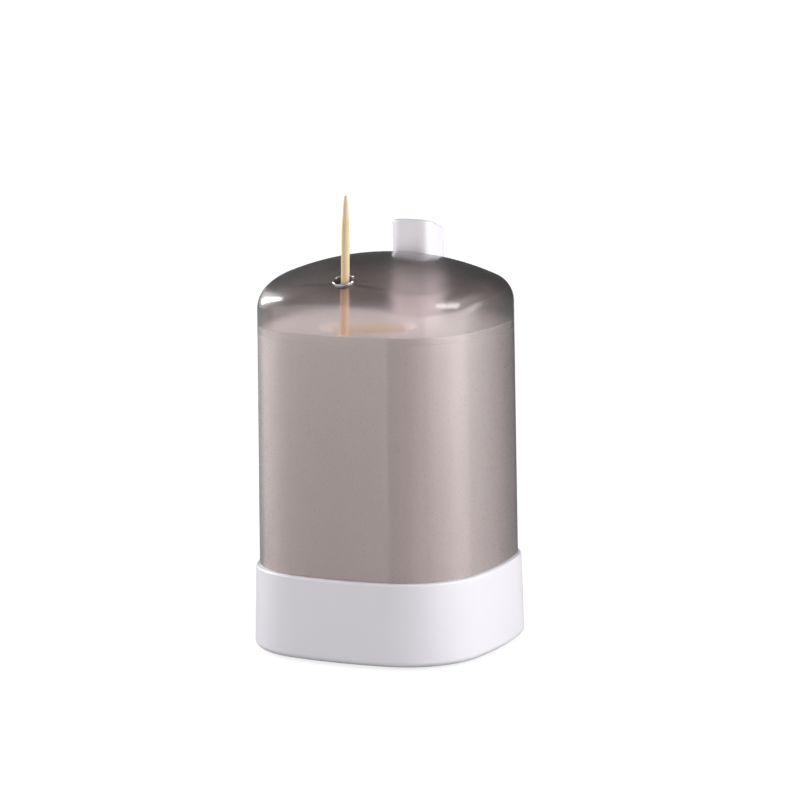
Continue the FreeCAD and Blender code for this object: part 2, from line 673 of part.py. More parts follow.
def hopper_tube():
    body = new_body("hopper_tube")
    tube_outer = d.well_radius + d.tube_wall
    nose_front = outlet_y - d.feed_half - d.tube_wall
    nose_low = well_floor - d.floor_thickness - d.channel_skirt
    cylinder(body, "tube", ZERO, well_y, plate_top, tube_outer, tube_top - plate_top)
    block(body, "nose", (-nose_half, nose_half), (nose_front, well_y), (nose_low, tube_top))
    for number, angle in enumerate(LUG_ANGLES):
        x, y = lug_place(angle)
        cylinder(body, f"lug_{number}", x, y, plate_top, d.lug_radius, d.lug_height)
    lug_low = plate_top + d.sleeve_lift + sleeve_height + d.lift_travel + d.lug_clear
    lug_x = (ZERO, guide_x + d.guide_radius + d.top_lug_wall)
    lug_y = (guide_y - d.guide_radius - d.top_lug_wall / 2, well_y - LUG_DEPTH_SHARE * d.well_radius)
    block(body, "top_lug", lug_x, lug_y, (lug_low, lug_low + d.top_lug_height))
    cylinder(body, "guide_hole", guide_x, guide_y, lug_low - d.overrun,
             d.guide_radius + d.pivot_fit, d.top_lug_height + 2 * d.overrun, cut=True)
    cylinder(body, "well", ZERO, well_y, well_floor, d.well_radius, tube_top - well_floor + d.overrun, cut=True)
    cylinder(body, "undercut", ZERO, well_y, plate_top - d.overrun, d.well_radius,
             well_floor - d.floor_thickness - plate_top + d.overrun, cut=True)
    block(body, "feed", (-d.feed_half, d.feed_half), (outlet_y, well_y),
          (well_floor, tube_top + d.overrun), cut=True)
    cylinder(body, "channel", ZERO, outlet_y, nose_low - d.overrun, d.feed_half,
             tube_top - nose_low + 2 * d.overrun, cut=True)
    slit_half = d.arm_thickness / 2 + d.arm_gap
    block(body, "slit", (ZERO, nose_half + d.overrun), (outlet_y - slit_half, outlet_y + slit_half),
          (nose_low - d.overrun, arm_top + d.lift_travel + d.arm_gap), cut=True)
    for number, angle in enumerate(LUG_ANGLES):
        x, y = lug_place(angle)
        cylinder(body, f"lug_hole_{number}", x, y, plate_top - d.overrun,
                 d.small_screw_radius + d.screw_gap, d.lug_height + 2 * d.overrun, cut=True)


def hopper_funnel():
    body = new_body("hopper_funnel")
    profile = sketch(body, "profile", plane="XZ_Plane")
    top = tube_top + d.mouth_height
    outline(profile, [(d.well_radius, tube_top), (mouth_radius, tube_top), (mouth_radius, top),
                      (mouth_radius - d.mouth_rim, top), (d.well_radius, tube_top + d.mouth_proud)])
    turn("Revolution", body, profile)
    block(body, "notch", (-d.feed_half, d.feed_half), (-mouth_radius - d.overrun, ZERO),
          (tube_top - d.overrun, top + d.overrun), cut=True)
    move(body, y=well_y)


# Button and its return spring

def button_cap():
    body = new_body("button_cap")
    high = dome_top + d.button_proud
    form = sketch(body, "form", offset=cap_low)
    rounded_square(form, (ZERO, button_y), d.button_half, d.button_round)
    pad(body, form, high - cap_low)
    crowned = dome_cut(body, dome_centre + d.button_proud, d.dome_radius, 2 * base_half, high + d.overrun)
    least = dome_top - d.button_proud
    round_edges(body, crowned, d.button_edge_round, lambda e: e.BoundBox.ZMin > least.value)
    hollow = sketch(body, "hollow", offset=cap_low - d.overrun)
    rounded_square(hollow, (ZERO, button_y), d.button_half - d.button_wall, d.button_round - d.button_wall)
    pocket(body, hollow, cap_inner_top - cap_low + d.overrun, reverse=True)


def push_rod():
    body = new_body("push_rod")
    middle = (ZERO, button_y)
    rod = sketch(body, "rod", offset=rod_low)
    rounded_square(rod, middle, d.rod_half, ROD_ROUND_SHARE * d.rod_half)
    pad(body, rod, cap_inner_top - d.rod_top_gap - rod_low)
    plate = sketch(body, "plate", offset=rod_low)
    circle(plate, middle, d.rod_plate_radius)
    pad(body, plate, d.rod_plate_thickness)
    flange = sketch(body, "flange", offset=cap_low - d.flange_thickness)
    rounded_square(flange, middle, d.flange_half, d.button_round)
    pad(body, flange, d.flange_thickness)
    plug = sketch(body, "plug", offset=cap_low)
    plug_half = d.button_half - d.button_wall - d.plug_gap
    rounded_square(plug, middle, plug_half, d.button_round - d.button_wall - d.plug_gap)
    pad(body, plug, d.plug_height)
    slot_half = d.pin_radius + d.rear_slot_gap
    arm_half = slot_half + d.slot_wall
    slot_low = rear_pin_y - d.pin_radius - d.slot_end_gap
    slot_high = pivot_y + rear_arm + d.pin_radius + d.slot_end_gap
    arm_end = lever_inner - d.side_gap
    block(body, "arm", (ZERO, arm_end), (slot_low - d.slot_wall, slot_high + d.slot_wall),
          (rear_pin_z - arm_half, rear_pin_z + arm_half))
    block(body, "arm_slot", (arm_end - d.rear_pin_reach - d.side_gap, arm_end + d.overrun),
          (slot_low, slot_high), (rear_pin_z - slot_half, rear_pin_z + slot_half), cut=True)
    cylinder(body, "post_bore", ZERO, button_y, rod_low - d.overrun, d.post_tip_radius + d.post_gap,
             d.post_overlap + d.press_travel + d.bore_spare + d.overrun, cut=True)


def spring_post():
    body = new_body("spring_post")
    seat = plate_top - d.seat_depth
    cylinder(body, "spigot", ZERO, button_y, seat, d.post_tip_radius - d.pin_fit, d.seat_depth)
    cylinder(body, "flange", ZERO, button_y, plate_top, d.post_flange_radius, d.post_flange_thickness)
    stop = rod_low - d.press_travel - d.post_stop_gap
    cylinder(body, "post", ZERO, button_y, plate_top, d.post_radius, stop - plate_top)
    cylinder(body, "tip", ZERO, button_y, plate_top, d.post_tip_radius, rod_low + d.post_overlap - plate_top)


def arc_pair(start, start_way, end, end_way):
    """Two arcs that leave start along start_way and reach end along end_way."""
    chord = end - start
    ways = start_way + end_way
    spread = 2 * (1 - start_way.dot(end_way))
    along = chord.dot(ways)
    reach = (math.sqrt(along ** 2 + spread * chord.dot(chord)) - along) / spread
    first_knee = start + start_way * reach
    last_knee = end - end_way * reach
    joint = (first_knee + last_knee) * 0.5
    edges = []
    for a, knee, b in ((start, first_knee, joint), (joint, last_knee, end)):
        half_chord = (b - a) * 0.5
        centre = a + half_chord
        rise = knee - centre
        lean = math.acos(min(1.0, half_chord.Length / (knee - a).Length))
        crest = centre + rise * (half_chord.Length * math.tan(lean / 2) / rise.Length)
        edges.append(Part.Arc(a, crest, b).toShape())
    return edges


def return_spring():
    wire = d.spring_wire.value
    mean = d.spring_radius.value
    low = plate_top + d.post_flange_thickness + d.spring_wire + d.spring_end_gap
    climb = (d.spring_length - 2 * d.spring_wire - 2 * d.spring_end_gap).value / SPRING_TURNS
    steps = SPRING_TURNS * 4
    points, ways = [], []
    for step in range(steps + 1):
        angle = math.pi / 2 * step
        points.append(FreeCAD.Vector(mean * math.cos(angle), button_y.value + mean * math.sin(angle),
                                     low.value + climb * step / 4))
        way = FreeCAD.Vector(-mean * math.sin(angle), mean * math.cos(angle), climb / (2 * math.pi))
        ways.append(way.normalize())
    edges = []
    for step in range(steps):
        edges += arc_pair(points[step], ways[step], points[step + 1], ways[step + 1])
    path = Part.Wire(edges)
    section = Part.Wire([Part.makeCircle(wire, points[0], ways[0])])
    spring = path.makePipeShell([section], True, False)
    length = sum(edge.Length for edge in edges)
    print("spring volume over section times length", round(spring.Volume / (math.pi * wire ** 2 * length), 4))
    print("spring least gap to itself", round(climb - 2 * wire, 3))
    feature_from("return_spring", spring)


# Lever

def lever():
    body = new_body("lever")
    half_thick = d.lever_thickness / 2
    ends = (("front", -front_arm, d.front_end_radius), ("rear", rear_arm, d.rear_end_radius))
    hub = sketch(body, "hub", plane="YZ_Plane", offset=-half_thick)
    circle(hub, (ZERO, ZERO), d.hub_radius)
    pad(body, hub, d.lever_thickness)
    for label, reach, end_radius in ends:
        end = sketch(body, f"{label}_end", plane="YZ_Plane", offset=-half_thick)
        circle(end, (reach, ZERO), end_radius)
        pad(body, end, d.lever_thickness)
        arm = sketch(body, f"{label}_arm", plane="YZ_Plane", offset=-half_thick)
        outline(arm, [(reach, -end_radius), (ZERO, -d.hub_radius), (ZERO, d.hub_radius), (reach, end_radius)])
        pad(body, arm, d.lever_thickness)
    pin_hole_radius = d.pin_radius + d.pin_fit
    holes = (("pivot", ZERO, d.pivot_radius + d.pivot_running_fit), ("front", -front_arm, pin_hole_radius),
             ("rear", rear_arm, pin_hole_radius))
    for label, reach, radius in holes:
        hole = sketch(body, f"{label}_hole", plane="YZ_Plane", offset=-half_thick - d.overrun)
        circle(hole, (reach, ZERO), radius)
        pocket(body, hole, d.lever_thickness + 2 * d.overrun, reverse=True)
    move(body, x=lever_middle, y=pivot_y, z=d.pivot_height, axis=(1, 0, 0), angle=swing)


def cross_pin(name, y, z, start, end, radius):
    """A steel pin that lies along X."""
    body = new_body(name)
    shank = sketch(body, "shank", plane="YZ_Plane", offset=ZERO)
    circle(shank, (ZERO, ZERO), radius)
    pad(body, shank, end - start)
    move(body, x=start, y=y, z=z)
    return body


def pivot_pin():
    start = lever_inner - d.cheek_gap - d.cheek_thickness - d.clip_gap
    end = lever_outer + d.cheek_gap + d.cheek_thickness + 2 * d.clip_gap + d.clip_thickness + d.pivot_tail
    body = cross_pin("pivot_pin", pivot_y, d.pivot_height, start, end, d.pivot_radius)
    head = sketch(body, "head", plane="YZ_Plane", offset=-d.pivot_head_thickness)
    circle(head, (ZERO, ZERO), d.pivot_head_radius)
    pad(body, head, d.pivot_head_thickness)


def pin_clip():
    start = lever_outer + d.cheek_gap + d.cheek_thickness + d.clip_gap
    body = cross_pin("pin_clip", pivot_y, d.pivot_height, start, start + d.clip_thickness, d.clip_outer)
    hole = sketch(body, "hole", plane="YZ_Plane", offset=-d.overrun)
    circle(hole, (ZERO, ZERO), d.pivot_radius + d.pin_fit)
    pocket(body, hole, d.clip_thickness + 2 * d.overrun, reverse=True)
    slot = sketch(body, "slot", plane="YZ_Plane", offset=-d.overrun)
    box_outline(slot, (-d.clip_slot_half, ZERO), (d.clip_slot_half, d.clip_outer + d.overrun))
    pocket(body, slot, d.clip_thickness + 2 * d.overrun, reverse=True)


def pivot_bracket():
    body = new_body("pivot_bracket")
    inner_cheek = lever_inner - d.cheek_gap - d.cheek_thickness
    outer_cheek = lever_outer + d.cheek_gap
    y_span = (pivot_y - d.cheek_half, pivot_y + d.cheek_half)
    foot_span = (pivot_y - d.bracket_foot_half, pivot_y + d.bracket_foot_half)
    block(body, "foot", (inner_cheek, bracket_end), foot_span, (plate_top, plate_top + d.bracket_web))
    for label, start in (("inner", inner_cheek), ("outer", outer_cheek)):
        block(body, f"{label}_cheek", (start, start + d.cheek_thickness), y_span, (plate_top, d.pivot_height))
        head = sketch(body, f"{label}_head", plane="YZ_Plane", offset=start)
        circle(head, (pivot_y, d.pivot_height), d.cheek_half)
        pad(body, head, d.cheek_thickness)
    hole = sketch(body, "pin_hole", plane="YZ_Plane", offset=inner_cheek - d.overrun)
    circle(hole, (pivot_y, d.pivot_height), d.pivot_radius + d.pivot_fit)
    pocket(body, hole, outer_cheek + d.cheek_thickness - inner_cheek + 2 * d.overrun, reverse=True)
    for number, (x, y) in enumerate(bracket_screw_places()):
        cylinder(body, f"screw_hole_{number}", x, y, plate_top - d.overrun,
                 d.small_screw_radius + d.screw_gap, d.bracket_web + 2 * d.overrun, cut=True)


# Lifter

def lifter_carriage():
    body = new_body("lifter_carriage")
    low = plate_top + d.sleeve_lift
    cylinder(body, "sleeve", guide_x, guide_y, low, d.sleeve_radius, sleeve_height)
    arm_half = d.arm_thickness / 2
    block(body, "root", (root_block_start, root_block_end + d.side_gap),
          (outlet_y - arm_half - d.root_block_wall, outlet_y + arm_half + d.root_block_wall), (low, arm_top))
    slot_half = d.pin_radius + d.front_slot_gap
    slot_low = pivot_y - front_arm - d.pin_radius - d.slot_end_gap
    slot_high = front_pin_y + d.pin_radius + d.slot_end_gap
    fork_end = lever_inner - d.side_gap
    fork_half = slot_half + d.slot_wall
    block(body, "fork", (fork_start, fork_end), (slot_low - d.slot_wall, slot_high + d.slot_wall),
          (front_pin_z - fork_half, front_pin_z + fork_half))
    block(body, "fork_slot", (fork_start + d.side_gap, fork_end + d.overrun), (slot_low, slot_high),
          (front_pin_z - slot_half, front_pin_z + slot_half), cut=True)
    cylinder(body, "guide_bore", guide_x, guide_y, low - d.overrun, d.guide_radius + d.pivot_running_fit,
             sleeve_height + 2 * d.overrun, cut=True)
    pocket_half = arm_half + d.pin_fit
    block(body, "arm_seat", (root_block_start - d.overrun, arm_root + d.pin_fit),
          (outlet_y - pocket_half, outlet_y + pocket_half),
          (arm_top - d.arm_height - d.pin_fit, arm_top + d.overrun), cut=True)


def lift_arm():
    body = new_body("lift_arm")
    arm_half = d.arm_thickness / 2
    low = arm_top - d.arm_height
    block(body, "arm", (ZERO, arm_root), (outlet_y - arm_half, outlet_y + arm_half), (low, arm_top))
    cylinder(body, "pad", ZERO, outlet_y, low, d.lift_pad_radius, d.arm_height)


def guide_rod():
    body = new_body("guide_rod")
    low = plate_top - d.seat_depth
    high = plate_top + d.sleeve_lift + sleeve_height + d.lift_travel + d.lug_clear + d.top_lug_height
    cylinder(body, "rod", guide_x, guide_y, low, d.guide_radius, high - low)


# Toothpicks

def pick_profile(sk):
    flank = d.pick_length - d.pick_point
    outline(sk, [(ZERO, ZERO), (d.pick_tip_radius, ZERO), (d.pick_radius, d.pick_point),
                 (d.pick_radius, flank), (d.pick_tip_radius, d.pick_length), (ZERO, d.pick_length)])


def toothpick():
    body = new_body("toothpick")
    profile = sketch(body, "profile", plane="XZ_Plane")
    pick_profile(profile)
    turn("Revolution", body, profile)
    lean = math.radians(d.pick_lean.value)
    low = arm_top + d.lift_travel + d.pick_gap
    drop = outlet_height() - low
    foot_x = d.pick_offset - drop * Size(math.tan(lean), f"tan({d.pick_lean.formula})")
    move(body, x=foot_x, y=outlet_y, z=low, axis=(0, 1, 0), angle=d.pick_lean)


def toothpick_stock():
    """The picks that stand in the well, packed in rows."""
    radius = d.pick_radius.value
    tip = d.pick_tip_radius.value
    point = d.pick_point.value
    shaft = d.pick_length.value - 2 * point
    up = FreeCAD.Vector(0, 0, 1)
    foot = Part.makeCone(tip, radius, point, FreeCAD.Vector(0, 0, 0), up)
    body = Part.makeCylinder(radius, shaft, FreeCAD.Vector(0, 0, point), up)
    head = Part.makeCone(radius, tip, point, FreeCAD.Vector(0, 0, point + shaft), up)
    pick = foot.fuse([body, head]).removeSplitter()
    pitch = d.pick_pitch.value
    row_step = pitch * math.sqrt(3) / 2
    room = d.well_radius.value - radius - d.mouth_gap.value
    rows = int(room / row_step) + 1
    picks = []
    for row in range(-rows, rows + 1):
        shift = pitch / 2 if row % 2 else 0
        for column in range(-rows - 1, rows + 2):
            x = column * pitch + shift
            y = row * row_step
            if math.hypot(x, y) <= room:
                picks.append(pick.translated(FreeCAD.Vector(x, well_y.value + y, well_floor.value)))
    print("toothpicks in the well", len(picks))
    feature_from("toothpick_stock", Part.makeCompound(picks))


for make in (base_housing, base_plate, rubber_feet, case_screws, cover, outlet_ring, inner_housing,
             hopper_tube, hopper_funnel, button_cap, push_rod, spring_post, return_spring, lever,
             pivot_pin, pin_clip, pivot_bracket, lifter_carriage, lift_arm, guide_rod, toothpick,
             toothpick_stock):
    make()
small_screws("hopper_screws", [lug_place(angle) for angle in LUG_ANGLES], plate_top + d.lug_height)
small_screws("bracket_screws", bracket_screw_places(), plate_top + d.bracket_web)
for name, y, z, pin_reach in (("lever_front_pin", front_pin_y, front_pin_z, d.front_pin_reach),
                              ("lever_rear_pin", rear_pin_y, rear_pin_z, d.rear_pin_reach)):
    cross_pin(name, y, z, lever_inner - pin_reach, lever_outer, d.pin_radius)
doc.recompute()

# Checks before anything is written
faults = [f"{item.Label} is in state {item.State}" for item in doc.Objects
          if any(word in item.State for word in ("Invalid", "Error"))]
for name, item in nodes.items():
    if item.Shape.isNull() or not item.Shape.isValid() or not item.Shape.Solids:
        faults.append(f"{name} has no valid solid")
if faults:
    raise SystemExit("\n".join(faults))
for item in doc.Objects:
    if item.TypeId in ("PartDesign::Pocket", "PartDesign::Groove", "PartDesign::SubtractiveLoft"):
        before = item.BaseFeature.Shape.Volume
        if before - item.Shape.Volume < LEAST_CUT_SHARE * before:
            faults.append(f"{item.Label} cuts nothing")
if faults:
    raise SystemExit("\n".join(faults))

os.makedirs("parts", exist_ok=True)
for name, item in nodes.items():
    item.Shape.exportStep(os.path.join("parts", f"{name}.step"))
    box = item.Shape.BoundBox
    sides = ((box.XMin, box.XMax), (box.YMin, box.YMax), (box.ZMin, box.ZMax))
    spans = [f"{low:.2f}..{high:.2f}" for low, high in sides]
    print(name, len(item.Shape.Solids), "solids", f"{item.Shape.Volume:.1f} mm3", *spans)
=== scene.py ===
import json
import math
import random
import bmesh
import bpy
from mathutils import Matrix, Vector, noise


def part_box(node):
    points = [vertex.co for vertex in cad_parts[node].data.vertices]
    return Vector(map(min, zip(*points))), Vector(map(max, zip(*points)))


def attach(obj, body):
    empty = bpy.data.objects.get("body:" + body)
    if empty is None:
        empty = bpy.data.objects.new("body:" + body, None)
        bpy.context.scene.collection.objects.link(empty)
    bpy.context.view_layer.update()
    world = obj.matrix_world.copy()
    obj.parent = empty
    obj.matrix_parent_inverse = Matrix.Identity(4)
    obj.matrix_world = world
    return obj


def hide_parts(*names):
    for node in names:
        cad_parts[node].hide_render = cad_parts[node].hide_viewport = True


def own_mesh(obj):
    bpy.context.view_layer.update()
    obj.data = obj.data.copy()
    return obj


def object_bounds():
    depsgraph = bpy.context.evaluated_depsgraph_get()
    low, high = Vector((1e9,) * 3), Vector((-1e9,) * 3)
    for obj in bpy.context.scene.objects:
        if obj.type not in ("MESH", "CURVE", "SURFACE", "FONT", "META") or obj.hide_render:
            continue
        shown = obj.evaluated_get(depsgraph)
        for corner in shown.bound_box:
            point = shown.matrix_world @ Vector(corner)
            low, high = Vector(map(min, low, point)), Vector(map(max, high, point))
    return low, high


# Toothpick dispenser. A smoky domed cover stands over a white housing on a white base. The button at
# the back lifts one toothpick through the ring at the front. Front is at -Y, up is +Z, lengths in metres.

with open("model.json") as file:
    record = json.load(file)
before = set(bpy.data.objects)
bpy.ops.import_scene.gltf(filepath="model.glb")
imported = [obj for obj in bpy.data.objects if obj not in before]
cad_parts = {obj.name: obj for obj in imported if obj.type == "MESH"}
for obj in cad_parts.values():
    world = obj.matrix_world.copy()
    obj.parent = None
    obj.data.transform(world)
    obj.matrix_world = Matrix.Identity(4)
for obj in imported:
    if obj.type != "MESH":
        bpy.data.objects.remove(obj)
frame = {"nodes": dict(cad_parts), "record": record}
CAD_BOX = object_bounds()
MM = 0.001

# Footprint: a square with bowed sides and wide corners, the same for every inset
BASE_HALF = 31.1 * MM
CORNER_RADIUS = 19.9 * MM
SIDE_RADIUS = 91.4 * MM
SIDE_CENTRE = SIDE_RADIUS - BASE_HALF
SIDE_TO_CORNER = SIDE_RADIUS - CORNER_RADIUS
CORNER_CENTRE = (math.sqrt(2 * SIDE_TO_CORNER ** 2 - SIDE_CENTRE ** 2) - SIDE_CENTRE) / 2
SIDE_SWEEP = math.asin(CORNER_CENTRE / SIDE_TO_CORNER)

# Cover
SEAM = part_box("cover")[0].z
COVER_HALF = 29.6 * MM
COVER_TAPER = 0.7 * MM
TAPER_HEIGHT = 79.0 * MM
COVER_WALL = 1.0 * MM
COVER_BEVEL = 0.3 * MM
DOME_RADIUS = 65.6 * MM
DOME_CENTRE = Vector((0, 0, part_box("cover")[1].z - DOME_RADIUS))
SHOULDER = 7.2 * MM
SIDE_STEPS = 24
CORNER_STEPS = 44
WALL_ROWS = 16
SHOULDER_ROWS = 16
DOME_ROWS = 40
BALL_TRIES = 6
COVER_SHARP = 35

# Holes in the cover
BUTTON_LOW, BUTTON_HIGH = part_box("button_cap")
BUTTON_Y = (BUTTON_LOW.y + BUTTON_HIGH.y) / 2
BUTTON_HOLE_HALF = 5.8 * MM
BUTTON_HOLE_ROUND = 3.25 * MM
OUTLET_Y = -23.4 * MM
OUTLET_RADIUS = 2.35 * MM
RING_SEAT_RADIUS = 2.72 * MM
RING_SEAT_DEPTH = 0.2 * MM
HOLE_STEPS = 16
DRILL_STEPS = 64

# Ring in the outlet
RING_RADIUS = 2.7 * MM
RING_BORE = 2.0 * MM
RING_HEIGHT = 0.35 * MM
RING_LIP = 0.27 * MM
SLEEVE_RADIUS = OUTLET_RADIUS - 0.05 * MM
SLEEVE_THROAT = 0.5 * MM
SLEEVE_DEPTH = 1.3 * MM
LIP_STEPS = 8
RING_STEPS = 72
RING_SHARP = 40

# Toothpicks
PICK_LENGTH = 65.0 * MM
PICK_RADIUS = 1.05 * MM
PICK_POINT = 13.0 * MM
POINT_SWELL = 2.2
POINT_STATIONS = [part * MM for part in (0.0, 0.05, 0.14, 0.34, 1.0, 2.0, 4.0, 6.0, 8.5, 11.0)]
POINT_STATIONS.append(PICK_POINT)
PICK_TIP = 0.34 * MM
PICK_TIP_FLAT = 0.3
SHAFT_STEPS = 8
PICK_FULLNESS = 0.97
PICK_WOBBLE = 0.05
WOBBLE_LENGTH = 9.0 * MM
PICK_LEAN = math.radians(1.4)
PICK_STEPS = 32
PICK_SHARP = 50

# Toothpicks in the well
STOCK_SEED = 11
STOCK_STEPS = 14
STOCK_PITCH = 2.3 * MM
STOCK_ASKEW = 0.0014
STOCK_DROP = 1.1 * MM
STOCK_GAP = 0.1 * MM
WELL_RADIUS = 10.2 * MM
WELL_Y = -10.0 * MM

# Return spring
SPRING_RADIUS = 3.6 * MM
SPRING_WIRE = 0.4 * MM
SPRING_TURNS = 7
SPRING_CLOSED_PITCH = 0.3
SPRING_TURN_STEPS = 40
SPRING_WIRE_STEPS = 12
SPRING_SHARP = 50


# Meshes

def new_object(name, data):
    made = bpy.data.objects.new(name, data)
    bpy.context.scene.collection.objects.link(made)
    return made


def mesh_object(name, bm):
    mesh = bpy.data.meshes.new(name)
    bm.to_mesh(mesh)
    bm.free()
    return new_object(name, mesh)


def shade(made, sharp, *materials):
    """Smooth shading with the piece's materials. Edges sharper than so many degrees stay sharp."""
    made.data.shade_smooth()
    made.data.set_sharp_from_angle(angle=math.radians(sharp))
    for material in materials:
        made.data.materials.append(material)


def turns(steps):
    """Angles once round, evenly spaced."""
    return [2 * math.pi * step / steps for step in range(steps)]


def flat_ring(bm, radius, z, steps):
    """A ring of vertices round the Z axis."""
    return [bm.verts.new((radius * math.cos(turn), radius * math.sin(turn), z)) for turn in turns(steps)]


def join_rings(bm, low, high):
    """A band of faces between two rings with as many vertices."""
    faces = []
    for step in range(len(low)):
        following = (step + 1) % len(low)
        faces.append(bm.faces.new([low[step], low[following], high[following], high[step]]))
    return faces


def footprint(half, angle):
    """The point of the footprint whose outward normal has this angle from +X, and that normal."""
    quarter = round(angle / (math.pi / 2))
    offset = angle - quarter * math.pi / 2
    if abs(offset) < SIDE_SWEEP:
        centre = Vector((-SIDE_CENTRE, 0))
        radius = half - BASE_HALF + SIDE_RADIUS
    else:
        centre = Vector((CORNER_CENTRE, math.copysign(CORNER_CENTRE, offset)))
        radius = half - BASE_HALF + CORNER_RADIUS
    normal = Vector((math.cos(angle), math.sin(angle)))
    return Matrix.Rotation(quarter * math.pi / 2, 2) @ centre + radius * normal, normal


def footprint_angles():
    """Normal angles once round, close together in the corners."""
    angles = []
    for quarter in range(4):
        middle = quarter * math.pi / 2
        for step in range(SIDE_STEPS):
            angles.append(middle + SIDE_SWEEP * (2 * step / SIDE_STEPS - 1))
        corner_sweep = math.pi / 2 - 2 * SIDE_SWEEP
        for step in range(CORNER_STEPS):
            angles.append(middle + SIDE_SWEEP + corner_sweep * step / CORNER_STEPS)
    return angles


def cover_half_at(z):
    return COVER_HALF - COVER_TAPER * (z - SEAM) / TAPER_HEIGHT


def cover_column(angle, inset):
    """Points up the cover at one angle, from the foot to just under the pole, on the surface at this
    inset. A ball of the shoulder's radius rolls inside the drafted wall and the dome."""
    draft = math.atan(COVER_TAPER / TAPER_HEIGHT)
    flat_normal = footprint(COVER_HALF, angle)[1]
    wall_way = Vector((*(flat_normal * math.cos(draft)), math.sin(draft)))
    ball_z = DOME_CENTRE.z + DOME_RADIUS - SHOULDER
    for _try in range(BALL_TRIES):
        flat, _normal = footprint(cover_half_at(ball_z) - SHOULDER / math.cos(draft), angle)
        ball_z = DOME_CENTRE.z + math.sqrt((DOME_RADIUS - SHOULDER) ** 2 - flat.length_squared)
    ball = Vector((flat.x, flat.y, ball_z))
    dome_way = (ball - DOME_CENTRE).normalized()
    reach = SHOULDER - inset
    top = ball + reach * wall_way
    points = []
    foot = SEAM if inset else SEAM + COVER_BEVEL
    for row in range(WALL_ROWS):
        z = foot + (top.z - foot) * row / WALL_ROWS
        flat, _normal = footprint(cover_half_at(z) - inset / math.cos(draft), angle)
        points.append(Vector((flat.x, flat.y, z)))
    for row in range(SHOULDER_ROWS):
        way = wall_way.slerp(dome_way, row / SHOULDER_ROWS)
        points.append(ball + reach * way)
    up = Vector((0, 0, 1))
    for row in range(DOME_ROWS):
        way = dome_way.slerp(up, row / DOME_ROWS)
        points.append(DOME_CENTRE + (DOME_RADIUS - inset) * way)
    return points


def add_skin(bm, columns, pole, inward):
    """Faces over a ring of columns and the pole above them, marked as frosted where they face inward.
    Gives back the columns' vertices."""
    frost = bm.faces.layers.float.get(FROST) or bm.faces.layers.float.new(FROST)
    grid = [[bm.verts.new(point) for point in column] for column in columns]
    top = bm.verts.new(pole)
    outlines = []
    for step, column in enumerate(grid):
        following = grid[(step + 1) % len(grid)]
        for row in range(len(column) - 1):
            outlines.append([column[row], following[row], following[row + 1], column[row + 1]])
        outlines.append([column[-1], following[-1], top])
    for outline in outlines:
        face = bm.faces.new(outline[::-1] if inward else outline)
        face[frost] = float(inward)
    return grid


def button_hole_tool(low, high):
    """A tall rounded square at the button's place."""
    flat = BUTTON_HOLE_HALF - BUTTON_HOLE_ROUND
    outline = []
    for quarter in range(4):
        turn = math.pi / 2 * quarter
        corner = Vector((0, BUTTON_Y)) + Matrix.Rotation(turn, 2) @ Vector((flat, flat))
        for step in range(HOLE_STEPS + 1):
            angle = turn + math.pi / 2 * step / HOLE_STEPS
            outline.append(corner + BUTTON_HOLE_ROUND * Vector((math.cos(angle), math.sin(angle))))
    bm = bmesh.new()
    bottom = [bm.verts.new((*point, low)) for point in outline]
    top = [bm.verts.new((*point, high)) for point in outline]
    join_rings(bm, bottom, top)
    bm.faces.new(bottom[::-1])
    bm.faces.new(top)
    return mesh_object("button_hole", bm)


def outlet_drill(reach):
    """A drill for the outlet and the ring's seat, with the dome's surface at its zero."""
    profile = [(OUTLET_RADIUS, -reach), (OUTLET_RADIUS, -RING_SEAT_DEPTH),
               (RING_SEAT_RADIUS, -RING_SEAT_DEPTH), (RING_SEAT_RADIUS, reach)]
    bm = bmesh.new()
    rings = [flat_ring(bm, radius, z, DRILL_STEPS) for radius, z in profile]
    for low, high in zip(rings, rings[1:]):
        join_rings(bm, low, high)
    bm.faces.new(rings[0][::-1])
    bm.faces.new(rings[-1])
    made = mesh_object("outlet_drill", bm)
    made.matrix_world = outlet_frame()
    return made


def cut_out(solid, tools):
    """Cuts the tools out of a solid's mesh, and removes them."""
    for tool in tools:
        cut = solid.modifiers.new(tool.name, "BOOLEAN")
        cut.operation = "DIFFERENCE"
        cut.solver = "EXACT"
        cut.object = tool
    bpy.context.view_layer.update()
    evaluated = solid.evaluated_get(bpy.context.evaluated_depsgraph_get())
    solid.data = bpy.data.meshes.new_from_object(evaluated)
    solid.data.materials.clear()
    solid.modifiers.clear()
    for tool in tools:
        bpy.data.objects.remove(tool)


def outlet_frame():
    """The place of the outlet on the dome, with Z along the dome's normal there."""
    tilt = math.asin(-OUTLET_Y / DOME_RADIUS)
    height = DOME_CENTRE.z + DOME_RADIUS * math.cos(tilt)
    return Matrix.Translation((0, OUTLET_Y, height)) @ Matrix.Rotation(tilt, 4, "X")


